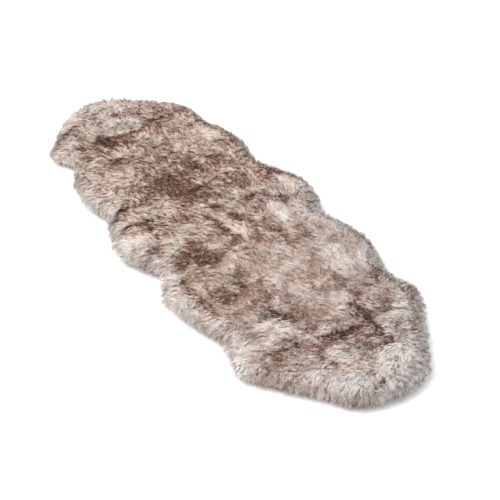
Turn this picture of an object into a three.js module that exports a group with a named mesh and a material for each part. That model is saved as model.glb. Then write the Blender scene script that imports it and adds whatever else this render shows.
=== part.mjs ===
// A long lambskin rug, lying wool side up on a floor.
// Two pelts are sewn end to end across the width: the near one and the far one.
// Each pelt is one solid, its hide and its wool together, out to the tips of the fleece.
// Millimetres, +Z up. The origin is on the floor under the middle of the rug,
// +Y runs along the rug to its far end, and +X is on the right on the way there.
import * as THREE from "three";
import { mergeVertices } from "three/addons/utils/BufferGeometryUtils.js";

// Driving dimensions
const RUG_LENGTH = 1762;
const WOOL_HEIGHT = 56;
const RIM_HEIGHT = 20;
const RIM_SHOULDER = 84;
const RIM_UNDERCUT = 26;
const SEAM_ALONG = -110;
const SEAM_GAP = 0.3;

// The fleece swells and sinks a little everywhere, in slow waves.
const SWELL_RISE = 3;
const SWELL_ACROSS = 96;
const SWELL_ALONG = 131;

// How finely the solids are divided
const OUTLINE_STEPS = 360;
const ROWS_PER_PELT = 44;
const ROW_CROWDING = 1.5;
const TOP_COLUMNS = 20;
const UNDERSIDE_COLUMNS = 6;

// The two ends of the rug, on its long centre line or beside it
const FAR_TIP = { across: -8, along: 900 };
const NEAR_TIP = { across: 8, along: FAR_TIP.along - RUG_LENGTH };

// The outline, from the near end to the far one. Each row is a lobe or a notch that shows on
// both edges: how far along it comes on the left and right edges, and how far out it reaches.
const LOBES = [
  { place: "near end", leftAlong: -845, leftOut: 86, rightAlong: -855, rightOut: 72 },
  { place: "near brow", leftAlong: -813, leftOut: 144, rightAlong: -826, rightOut: 127 },
  { place: "near cheek", leftAlong: -748, leftOut: 188, rightAlong: -766, rightOut: 176 },
  { place: "near shoulder", leftAlong: -640, leftOut: 274, rightAlong: -658, rightOut: 254 },
  { place: "near front leg", leftAlong: -550, leftOut: 325, rightAlong: -566, rightOut: 308 },
  { place: "near waist", leftAlong: -430, leftOut: 299, rightAlong: -474, rightOut: 283 },
  { place: "near flank", leftAlong: -335, leftOut: 327, rightAlong: -395, rightOut: 308 },
  { place: "near hind leg", leftAlong: -220, leftOut: 344, rightAlong: -310, rightOut: 333 },
  { place: "near rump", leftAlong: -165, leftOut: 334, rightAlong: -200, rightOut: 321 },
  { place: "seam notch", leftAlong: -92, leftOut: 294, rightAlong: -125, rightOut: 300 },
  { place: "far rump", leftAlong: -25, leftOut: 322, rightAlong: -52, rightOut: 333 },
  { place: "far hind leg", leftAlong: 52, leftOut: 356, rightAlong: 62, rightOut: 356 },
  { place: "far flank", leftAlong: 170, leftOut: 330, rightAlong: 165, rightOut: 319 },
  { place: "far waist", leftAlong: 250, leftOut: 299, rightAlong: 248, rightOut: 288 },
  { place: "far ribs", leftAlong: 325, leftOut: 319, rightAlong: 350, rightOut: 312 },
  { place: "far breast", leftAlong: 470, leftOut: 304, rightAlong: 465, rightOut: 305 },
  { place: "neck", leftAlong: 575, leftOut: 256, rightAlong: 562, rightOut: 272 },
  { place: "neck flap", leftAlong: 670, leftOut: 300, rightAlong: 640, rightOut: 278 },
  { place: "far cheek", leftAlong: 726, leftOut: 257, rightAlong: 702, rightOut: 253 },
  { place: "far brow", leftAlong: 805, leftOut: 193, rightAlong: 790, rightOut: 172 },
  { place: "far end", leftAlong: 872, leftOut: 105, rightAlong: 868, rightOut: 74 },
];

// The main folds, each a soft trough (rise below zero) or ridge along a straight line.
const FOLDS = [
  { place: "edge of the neck flap", across: [-285, -165], along: [672, 752], reach: 17, rise: -12 },
  { place: "root of the neck flap", across: [-200, -150], along: [722, 622], reach: 24, rise: -10 },
  { place: "neck cleft", across: [-168, 105], along: [652, 640], reach: 25, rise: -17 },
  { place: "crest past the cleft", across: [-60, 70], along: [694, 690], reach: 42, rise: 8 },
  { place: "hollow of the ribs", across: [-60, -35], along: [330, 205], reach: 62, rise: -8 },
  { place: "upper waist wave", across: [-305, -200], along: [206, 240], reach: 19, rise: -14 },
  { place: "crest between the waves", across: [-290, -205], along: [178, 194], reach: 22, rise: 5 },
  { place: "lower waist wave", across: [-325, -170], along: [132, 142], reach: 21, rise: -14 },
  { place: "right waist dimple", across: [112, 190], along: [148, 166], reach: 20, rise: -8 },
  { place: "swell of the left hind leg", across: [-300, -225], along: [58, 70], reach: 50, rise: 6 },
  { place: "seam", across: [-290, 290], along: [-110, -110], reach: 24, rise: -9 },
  { place: "parting of the left flank", across: [-268, -262], along: [-168, -310], reach: 17, rise: -8 },
  { place: "swell of the right flank", across: [182, 200], along: [-210, -370], reach: 60, rise: 6 },
  { place: "near waist wave", across: [-186, -104], along: [-424, -462], reach: 18, rise: -12 },
  { place: "near shoulder wave", across: [-150, 45], along: [-588, -606], reach: 24, rise: -11 },
  { place: "near chest parting", across: [62, 100], along: [-600, -705], reach: 22, rise: -10 },
  { place: "right shoulder wave", across: [112, 236], along: [-592, -580], reach: 19, rise: -8 },
  { place: "swell of the near end", across: [60, 160], along: [-735, -800], reach: 60, rise: 6 },
];

const woolMaterial = (color) => new THREE.MeshStandardMaterial({ color, roughness: 0.95, metalness: 0 });
const nearWool = woolMaterial("#b9ada4");
const farWool = woolMaterial("#a8978b");

// The outline as one closed smooth curve: up the right edge and back down the left one
function outlinePoints() {
  const point = (across, along) => new THREE.Vector3(across, along, 0);
  const right = LOBES.map((lobe) => point(lobe.rightOut, lobe.rightAlong));
  const left = LOBES.map((lobe) => point(-lobe.leftOut, lobe.leftAlong)).reverse();
  const nearTip = point(NEAR_TIP.across, NEAR_TIP.along);
  const farTip = point(FAR_TIP.across, FAR_TIP.along);
  const curve = new THREE.CatmullRomCurve3([nearTip, ...right, farTip, ...left], true, "centripetal");
  return curve.getPoints(OUTLINE_STEPS).slice(0, -1);
}

const outline = outlinePoints();
const outlineSides = outline.map((start, index) => {
  return new THREE.Line3(start, outline[(index + 1) % outline.length]);
});
const nearEnd = outline.reduce((lowest, point) => (point.y < lowest.y ? point : lowest));
const farEnd = outline.reduce((highest, point) => (point.y > highest.y ? point : highest));

// Where the outline crosses a line across the rug, as the left and right ends of that line
function edgesAt(along) {
  const crossings = [];
  for (const side of outlineSides) {
    const before = side.start.y - along;
    const after = side.end.y - along;
    if (before * after <= 0 && before !== after) {
      crossings.push(THREE.MathUtils.lerp(side.start.x, side.end.x, before / (before - after)));
    }
  }
  return { left: Math.min(...crossings), right: Math.max(...crossings) };
}

const nearestOnSide = new THREE.Vector3();

function distanceToSide(point, side) {
  return side.closestPointToPoint(point, true, nearestOnSide).distanceTo(point);
}

function distanceInside(across, along) {
  const point = new THREE.Vector3(across, along, 0);
  return Math.min(...outlineSides.map((side) => distanceToSide(point, side)));
}

function foldRise(across, along) {
  const point = new THREE.Vector3(across, along, 0);
  let rise = SWELL_RISE * Math.sin(across / SWELL_ACROSS + 1) * Math.sin(along / SWELL_ALONG);
  for (const fold of FOLDS) {
    const start = new THREE.Vector3(fold.across[0], fold.along[0], 0);
    const end = new THREE.Vector3(fold.across[1], fold.along[1], 0);
    const away = distanceToSide(point, new THREE.Line3(start, end)) / fold.reach;
    rise += fold.rise * Math.exp(-away * away);
  }
  return rise;
}

// The top of the wool: a round shoulder in from the rim, then level but for the folds
function topHeight(across, along) {
  const inward = Math.min(distanceInside(across, along) / RIM_SHOULDER, 1);
  const shoulder = Math.sqrt(1 - (1 - inward) ** 2);
  return RIM_HEIGHT + (WOOL_HEIGHT + foldRise(across, along) - RIM_HEIGHT) * shoulder;
}

// The underside: flat on the floor, rising to the rim where the wool overhangs the hide
function undersideHeight(across, along) {
  const outward = 1 - Math.min(distanceInside(across, along) / RIM_UNDERCUT, 1);
  return RIM_HEIGHT * outward;
}

// The rows of a pelt, from its tip, where they crowd together, to its sewn edge
function rowPlaces(tipAlong, sewnAlong) {
  return Array.from({ length: ROWS_PER_PELT + 1 }, (_, row) => {
    return THREE.MathUtils.lerp(tipAlong, sewnAlong, (row / ROWS_PER_PELT) ** ROW_CROWDING);
  });
}

// One line of points across the rug, closer together near the two edges
function rowPoints(along, columns, heightAt) {
  const { left, right } = edgesAt(along);
  return Array.from({ length: columns + 1 }, (_, column) => {
    const share = (1 - Math.cos((Math.PI * column) / columns)) / 2;
    const across = THREE.MathUtils.lerp(left, right, share);
    const onRim = column === 0 || column === columns;
    return new THREE.Vector3(across, along, onRim ? RIM_HEIGHT : heightAt(across, along));
  });
}

// The tip of a pelt is one point, so its row of the sheet is that point again and again.
function sheetRows(tip, places, columns, heightAt) {
  const tipPoint = new THREE.Vector3(tip.x, tip.y, RIM_HEIGHT);
  const tipRow = Array.from({ length: columns + 1 }, () => tipPoint);
  return [tipRow, ...places.slice(1).map((along) => rowPoints(along, columns, heightAt))];
}

function addTriangle(corners, a, b, c) {
  const isFlatLine = a.equals(b) || b.equals(c) || c.equals(a);
  if (!isFlatLine) {
    corners.push(...a.toArray(), ...b.toArray(), ...c.toArray());
  }
}

function addSheet(corners, rows, facesOut) {
  for (let row = 0; row + 1 < rows.length; row += 1) {
    for (let column = 0; column + 1 < rows[row].length; column += 1) {
      const a = rows[row][column];
      const b = rows[row][column + 1];
      const c = rows[row + 1][column + 1];
      const d = rows[row + 1][column];
      addTriangle(corners, a, facesOut ? b : c, facesOut ? c : b);
      addTriangle(corners, a, facesOut ? c : d, facesOut ? d : c);
    }
  }
}

// The flat face at the seam, between the last row of the top and the last row of the underside
function addSewnFace(corners, topRow, undersideRow, facesOut) {
  const ring = [...undersideRow, ...topRow.slice(1, -1).reverse()];
  const flatRing = ring.map((point) => new THREE.Vector2(point.x, point.z));
  for (const [a, b, c] of THREE.ShapeUtils.triangulateShape(flatRing, [])) {
    addTriangle(corners, ring[a], ring[facesOut ? b : c], ring[facesOut ? c : b]);
  }
}

// A pelt between its tip and its sewn edge. The near pelt's rows run along +Y and the far
// pelt's along -Y, so their triangles are wound the opposite way.
function peltMesh(name, material, tip, sewnAlong) {
  const runsAway = sewnAlong > tip.y;
  const places = rowPlaces(tip.y, sewnAlong);
  const topRows = sheetRows(tip, places, TOP_COLUMNS, topHeight);
  const undersideRows = sheetRows(tip, places, UNDERSIDE_COLUMNS, undersideHeight);
  const corners = [];
  addSheet(corners, topRows, runsAway);
  addSheet(corners, undersideRows, !runsAway);
  addSewnFace(corners, topRows.at(-1), undersideRows.at(-1), !runsAway);
  const loose = new THREE.BufferGeometry();
  loose.setAttribute("position", new THREE.Float32BufferAttribute(corners, 3));
  const geometry = mergeVertices(loose);
  geometry.computeVertexNormals();
  const mesh = new THREE.Mesh(geometry, material);
  mesh.name = name;
  return mesh;
}

const group = new THREE.Group();
group.add(peltMesh("pelt_near", nearWool, nearEnd, SEAM_ALONG - SEAM_GAP / 2));
group.add(peltMesh("pelt_far", farWool, farEnd, SEAM_ALONG + SEAM_GAP / 2));

// The rows above are measured from a point short of the middle, so the rug is centred at the end.
const box = new THREE.Box3().setFromObject(group);
const centre = box.getCenter(new THREE.Vector3());
group.position.set(-centre.x, -centre.y, -box.min.z);

export default group;
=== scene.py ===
import math

import bpy
import numpy as np
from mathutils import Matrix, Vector
from mathutils.geometry import delaunay_2d_cdt
from mathutils.kdtree import KDTree


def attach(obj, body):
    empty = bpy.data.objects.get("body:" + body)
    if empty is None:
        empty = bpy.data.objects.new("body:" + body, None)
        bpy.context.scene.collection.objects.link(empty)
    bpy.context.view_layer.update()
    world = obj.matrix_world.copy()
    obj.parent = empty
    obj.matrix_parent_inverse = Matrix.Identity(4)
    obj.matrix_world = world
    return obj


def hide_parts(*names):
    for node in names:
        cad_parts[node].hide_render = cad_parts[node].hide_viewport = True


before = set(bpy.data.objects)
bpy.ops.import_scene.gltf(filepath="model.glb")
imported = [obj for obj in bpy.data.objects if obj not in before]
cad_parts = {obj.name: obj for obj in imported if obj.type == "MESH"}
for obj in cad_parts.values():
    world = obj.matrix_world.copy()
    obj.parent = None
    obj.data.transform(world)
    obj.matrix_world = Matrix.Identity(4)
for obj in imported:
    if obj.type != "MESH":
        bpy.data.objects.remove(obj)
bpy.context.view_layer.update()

MM = 0.001
RANDOM_SEED = 20

# The fleece, which is made of flat strands that gather into locks
STRANDS = 425_000
STRAND_LENGTH = 27 * MM
STRAND_WIDTH = 0.95 * MM
STRAND_BOW = 0.16
WIDEST = 0.6
LOCK_TRIALS = 110_000
LOCK_SPACING = 4.8 * MM
LOCK_GATHER = 0.55
RIM_GATHER = 0.6
CREASE_FILL = 0.4
LEAST_HEIGHT = 0.6 * MM
GREATEST_HEIGHT = 73 * MM

# How far in from the outline the rim's wool turns outwards, takes its colour, is loose and
# sends out its wisps, and how far it is drawn in there
RIM_TURNS = (10 * MM, 100 * MM)
RIM_COLOURED = (5 * MM, 75 * MM)
RIM_LOOSE = 25 * MM
FAR_END_LOOSER = 20 * MM
WISPS_BEGIN = (15 * MM, 45 * MM)
RIM_DRAWN_IN = 1.2 * MM
EDGE_DRAWN_IN = 4.0 * MM
FRINGE_DEPTH = 4.5 * MM
TUFTED_WISPS = (0.2, 1.8)

# How the wool stands and lies: its relief, how far it swirls, in radians, and how it leans
MOUND_HEIGHT = 1.4 * MM
TUFT_HEIGHT = 0.9 * MM
DASH_DROP = 4 * MM
DASHES_OVER = (1.75, 1.25)
DASH_SOFTNESS = 0.7
BROAD_TURN = 0.42
FINE_TURN = 0.34
CREASE_PULL = 2.0
OUTWARD_PULL = 1.3
SPINE_PULL = 0.3
RIM_LEAN = 0.35
RIM_HANG = 0.9
LEAN_LIMITS = (0.35, 1.35)
LENGTH_LIMITS = (0.6, 1.4)
LOCK_LENGTH_LIMITS = (0.7, 1.35)

# What makes a place browner, part of it painted shade in creases, partings and dark patches, and the
# grain, which is how much browner or paler single locks are
PATCH_STRENGTH = 0.7
PATCH_INNER_STRENGTH = 0.22
PATCH_FALL = 0.35
# Painted shade in the gaps of the short partings
DASH_SHADE = 0.28
STREAK_DARK = 0.12
# Near-black painted shade at the bottom of the creases, past the darkest brown
CREASE_PAINTED_SHADE = 0.3
LEAST_GRAIN = 0.36
FAR_GRAIN = 1.15
SPECKLE = 0.14
RIM_SPECKLE = 0.09
SPECKLE_SHAPE = 2.5
TIP_BEGINS = 0.74
TIP_BLENDS = 0.22
DARK_TIPS_LONGER = 0.35

# How much strands and locks differ from their neighbours
LENGTH_SPREAD = 0.12
WIDTH_SPREAD = 0.22
WAY_SPREAD = 0.22
LEAN_SPREAD = math.radians(7)
STAND_SPREAD = 1.1 * MM
STRAY_SPREAD = 0.14
GATHER_SPREAD = 0.12
ROLL_SPREAD = 0.6
BEND_SPREAD = 1.2 * MM
TIP_SPREAD = 1.8 * MM
TONE_SPREAD = 0.1
WARMTH_SPREAD = 0.3
PATCH_RAGGED = 5 * MM

# Where one kind of wool turns softly into the next, along the rug
NEAR_END_CALM = (-0.72, -0.30)
NEAR_END_SWIRL = 0.35
DASHES_GROW = (-0.32, 0.18)
GRAIN_GROWS = (-0.30, 0.30)
FAR_RIM_WARMS = (0.30, 0.60)
FAR_END_LOOSE = (0.60, 0.80)
SPINE_ENDS = (-0.62, 0.60)

# The near flank, where the wool is most even: where it begins across the rug and ends along it,
# and how much of its patches and creases it loses
FLANK_BEGINS = (-0.40, 0.10)
FLANK_MIDDLE = -0.33
FLANK_FADES = (0.12, 0.25)
FLANK_PATCH_LOSS = 0.18
FLANK_CREASE_LOSS = 0.25

# The near right, where the wool is cooler in colour: where it begins across the rug and ends
# along it, and how much of its warmth it loses, the rim as a share of its own
NEAR_RIGHT_BEGINS = (0.0, 0.25)
NEAR_RIGHT_ENDS = (-0.10, 0.15)
NEAR_RIGHT_LOSS = 0.25
NEAR_RIGHT_RIM_LOSS = 0.6
FAR_RIM_WARMER = 0.2
WARMING_SPREAD = 0.06

# Under the fleece: the undercoat, the two skins and their seam
UNDERCOAT_DEPTH = 11 * MM
UNDERCOAT_CLEARANCE = 0.3 * MM
UNDERCOAT_RELIEF = 0.8
UNDERCOAT_SPLITS = 2
SEWN_EDGE_REACH = 20 * MM
SEWN_EDGE_SHRINK = (0.96, 1.0, 0.79)
HIDE_INSET = 34 * MM
HIDE_THICKNESS = 1.8 * MM
HIDE_HEIGHT = 0.5 * MM
HIDE_BUCKLE = 0.3 * MM
HIDE_OUTLINE_STEP = 6 * MM
HIDE_GRID_STEP = 14 * MM
HIDE_SEAM_POINTS = 60
SEAM_HALF_GAP = 0.4 * MM
SEAM_HALF_WIDTH = 270 * MM
STITCH_SPACING = 7 * MM
STITCH_REACH = 2.6 * MM
STITCH_SLANT = 0.55
STITCH_SIDES = 6
STITCH_RINGS = 5
THREAD_RADIUS = 0.45 * MM

# The photograph's camera
CAMERA_TARGET = Vector((0.0147, -0.1311, 0.0))
CAMERA_DISTANCE = 3.1477
CAMERA_ELEVATION = math.radians(40)
CAMERA_HEADING = math.radians(55.7)
CAMERA_LENS = 72.2
CAMERA_SENSOR = 36.0

# The wool's colours from pale to brown, as they show on a screen, and where each one stands
# between the palest wool and the darkest. Cool wool and warm wool are mixed in steps. Past 0.77, where
# tone 1 falls, the colours turn near black: painted shade, reached mostly at the bottom of creases.
COOL_TIP = [(0, (231, 231, 232)), (0.27, (191, 185, 182)), (0.54, (120, 102, 94))]
COOL_TIP += [(0.77, (74, 54, 45)), (1, (32, 25, 22))]
WARM_TIP = [(0, (236, 224, 214)), (0.27, (201, 171, 155)), (0.54, (132, 84, 61))]
WARM_TIP += [(0.77, (79, 41, 23)), (1, (34, 24, 20))]
COOL_ROOT = [(0, (229, 229, 231)), (0.46, (208, 204, 204)), (0.77, (158, 148, 143)), (1, (80, 70, 66))]
WARM_ROOT = [(0, (234, 220, 209)), (0.46, (216, 194, 180)), (0.77, (170, 126, 105)), (1, (84, 64, 54))]
# Tone runs up to this; past 1 it is near-black painted shade
DARKEST = 1.3
WARMTH_STEPS = 6
STRAND_MAP_WIDTH = 0.0012

# The pieces of the fleece: the pelt that each lies on and its reach along the rug
FLEECE_PIECES = (
    ("fleece_near_end", "pelt_near", -1.0, -0.49),
    ("fleece_near_flank", "pelt_near", -0.49, 0.0),
    ("fleece_far_flank", "pelt_far", -0.2, 0.2),
    ("fleece_far_ribs", "pelt_far", 0.2, 0.53),
    ("fleece_far_end", "pelt_far", 0.53, 1.0),
)


def table(columns, rows):
    """Rows of a place and its numbers, as an array with named columns."""
    kinds = [("place", "U32")] + [(column, float) for column in columns.split()]
    return np.array(rows, dtype=kinds)


# Which way the wool lies, as headings in degrees turned from +X towards +Y, and how far it
# leans over from upright. Each row rules near its place, within its reach, in millimetres.
FLOWS = table(
    "x y reach heading lean",
    [
        ("everywhere", 0, 0, 4000, 146, 54),
        ("neck flap", -250, 621, 110, 158, 62),
        ("far left flank", -230, 381, 150, 165, 62),
        ("far middle", -20, 331, 170, 150, 48),
        ("far right flank", 200, 361, 150, 120, 55),
        ("far end", 0, 781, 110, 120, 55),
        ("left hind leg", -260, 51, 110, 158, 62),
        ("rump", -120, -79, 120, 150, 60),
        ("right hind leg", 240, 11, 110, 60, 52),
        ("near left flank", -240, -319, 140, 190, 60),
        ("near middle", 60, -319, 170, 120, 44),
        ("near right flank", 230, -369, 110, 20, 50),
        ("near shoulder", -150, -579, 120, 180, 58),
        ("near end", 20, -789, 140, 240, 55),
    ],
)

# Creases where the fleece parts, as short lines, in millimetres: the reach is half a crease's
# width, the drop is how far the wool sinks in it and the dark is how much darker it shows, partly from
# the wool's brown tips and partly painted shade in the crease.
CREASES = table(
    "x0 y0 x1 y1 reach drop dark",
    [
        ("flap edge, left", -262, 674, -206, 734, 7, 7, 0.55),
        ("flap edge, right", -206, 734, -160, 746, 7, 7, 0.45),
        ("flap root", -196, 693, -152, 603, 9, 6, 0.2),
        ("neck cleft, left", -134, 624, -80, 622, 13, 1, 0.6),
        ("neck cleft, middle", -80, 622, -30, 617, 8, 1, 0.9),
        ("neck cleft, right", -30, 617, 26, 604, 7, 1, 0.7),
        ("neck hollow", -106, 606, -84, 566, 18, 2, 0.7),
        ("nape parting", 100, 634, 138, 626, 8, 7, 0.7),
        ("upper wave, left", -304, 184, -272, 216, 7, 7, 0.8),
        ("upper wave, middle", -272, 216, -246, 230, 6, 8, 0.8),
        ("upper wave, right", -238, 232, -190, 222, 10, 13, 1.3),
        ("lower wave, left", -318, 116, -290, 130, 7, 8, 0.5),
        ("lower wave, middle", -290, 130, -246, 134, 6, 9, 1.0),
        ("lower wave, right", -246, 137, -178, 126, 7, 9, 1.2),
        ("ribs, left", -129, 277, -65, 297, 7, 6, 0.4),
        ("ribs, right", 16, 281, 88, 277, 6, 6, 0.35),
        ("loin, upper", -23, 176, 52, 178, 7, 6, 0.5),
        ("loin, right", 46, 186, 104, 190, 7, 6, 0.5),
        ("right waist arc", 104, 178, 158, 184, 7, 7, 0.5),
        ("right waist arc, foot", 158, 184, 182, 150, 7, 7, 0.4),
        ("right loin, left", 98, 52, 152, 44, 7, 6, 0.35),
        ("right loin, right", 152, 44, 222, -10, 7, 6, 0.4),
        ("loin line", -28, 43, 14, 52, 6, 5, 0.3),
        ("rump gap, upper", -44, 40, -30, -26, 7, 6, 0.35),
        ("rump gap", -30, -26, -32, -80, 6, 6, 0.25),
        ("rump gap, foot", -32, -80, -10, -114, 7, 6, 0.45),
        ("left parting, upper", -266, -222, -267, -290, 6, 6, 0.12),
        ("left parting, lower", -264, -290, -262, -340, 6, 6, 0.15),
        ("notch fringe", -336, -181, -266, -190, 6, 6, 0.4),
        ("belly parting", 124, -380, 121, -430, 6, 6, 0.3),
        ("belly parting, lower", 121, -430, 178, -514, 7, 6, 0.3),
        ("right notch", 246, -434, 256, -482, 7, 6, 0.35),
        ("near wave, left", -174, -445, -134, -441, 8, 12, 1.1),
        ("near wave, right", -134, -441, -116, -474, 8, 12, 1.0),
        ("left shoulder line", -212, -580, -140, -587, 6, 6, 0.35),
        ("shoulder wave, left", -86, -594, -30, -614, 7, 8, 0.5),
        ("shoulder wave, right", -30, -614, 42, -626, 8, 10, 0.75),
        ("chest parting, upper", 78, -556, 80, -590, 9, 8, 0.7),
        ("chest parting, lower", 80, -590, 80, -680, 9, 8, 0.6),
        ("chest foot", 11, -711, 28, -680, 6, 5, 0.3),
        ("near arc", -98, -636, -114, -706, 6, 6, 0.2),
        ("right shoulder line", 122, -588, 198, -646, 6, 6, 0.35),
        ("right shoulder arc", 228, -612, 232, -684, 6, 5, 0.15),
        ("near end nick", -44, -832, -28, -826, 4, 4, 0.6),
    ],
)
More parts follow.
